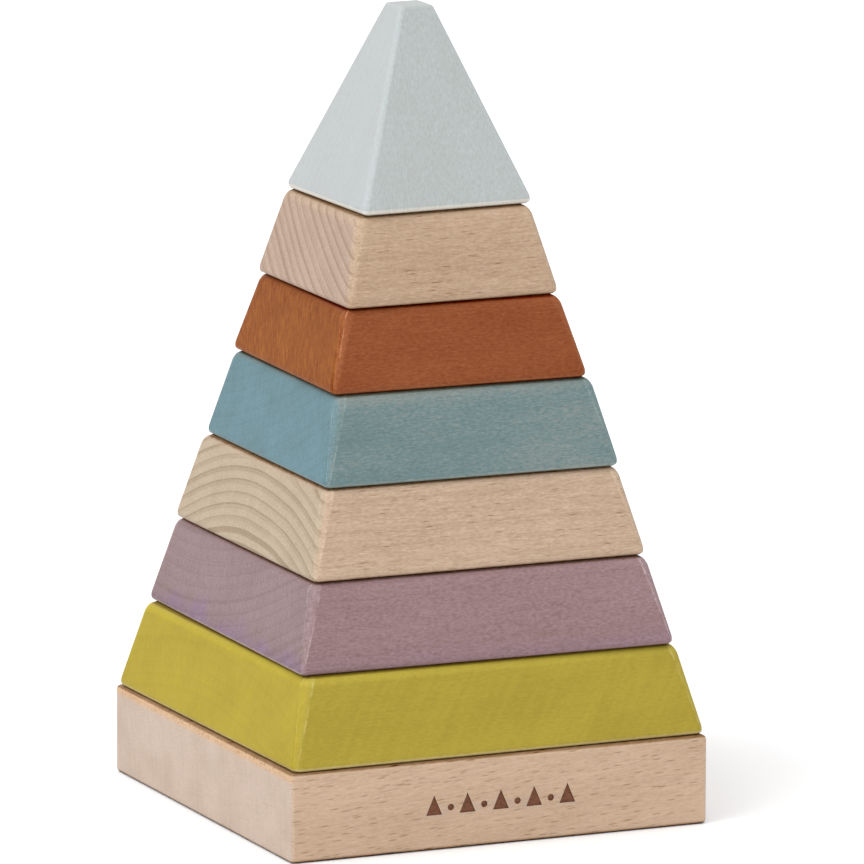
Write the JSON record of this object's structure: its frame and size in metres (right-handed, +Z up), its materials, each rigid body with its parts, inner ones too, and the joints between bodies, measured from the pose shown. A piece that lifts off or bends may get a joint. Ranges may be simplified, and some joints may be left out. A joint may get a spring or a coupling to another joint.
{
  "type": "stacking pyramid",
  "caption": "Square stacking pyramid toy in beech: loose tiers with leaning sides slide down over an upright rod on a base board, and a pyramid block caps the stack.",
  "frame": {"origin": "centre of the base board's underside, on the surface that the toy stands on", "axes": "+Z up along the rod; the wide long-grain faces look along -Y and +Y, the end-grain faces along -X and +X"},
  "size_m": [0.1, 0.1, 0.1791],
  "materials": {
    "beech": "plain sanded beech, matt",
    "lime_stain": "beech under a thin lime stain, satin",
    "mauve_stain": "beech under a thin mauve stain, satin",
    "blue_stain": "beech under a thin grey-blue stain, satin, worn at the edges",
    "rust_stain": "beech under a thin rust stain, satin",
    "pale_blue_stain": "beech under a pale grey-blue wash, satin"
  },
  "bodies": {
    "base": {"base_board": "beech", "centre_rod": "beech"},
    "lime_tier": {"lime_tier": "lime_stain"},
    "mauve_tier": {"mauve_tier": "mauve_stain"},
    "lower_natural_tier": {"lower_natural_tier": "beech"},
    "blue_tier": {"blue_tier": "blue_stain"},
    "rust_tier": {"rust_tier": "rust_stain"},
    "upper_natural_tier": {"upper_natural_tier": "beech"},
    "top_block": {"top_block": "pale_blue_stain"}
  },
  "joints": [
    {"name": "lime_lift", "type": "slide", "parent": "base", "child": "lime_tier", "axis": [0, 0, 1], "range_m": [0, 0.14212]},
    {"name": "mauve_lift", "type": "slide", "parent": "lime_tier", "child": "mauve_tier", "axis": [0, 0, 1], "range_m": [0, 0.1221]},
    {"name": "lower_natural_lift", "type": "slide", "parent": "mauve_tier", "child": "lower_natural_tier", "axis": [0, 0, 1], "range_m": [0, 0.10258]},
    {"name": "blue_lift", "type": "slide", "parent": "lower_natural_tier", "child": "blue_tier", "axis": [0, 0, 1], "range_m": [0, 0.08306]},
    {"name": "rust_lift", "type": "slide", "parent": "blue_tier", "child": "rust_tier", "axis": [0, 0, 1], "range_m": [0, 0.06354]},
    {"name": "upper_natural_lift", "type": "slide", "parent": "rust_tier", "child": "upper_natural_tier", "axis": [0, 0, 1], "range_m": [0, 0.04552]},
    {"name": "top_lift", "type": "slide", "parent": "upper_natural_tier", "child": "top_block", "axis": [0, 0, 1], "range_m": [0, 0.026]}
  ]
}
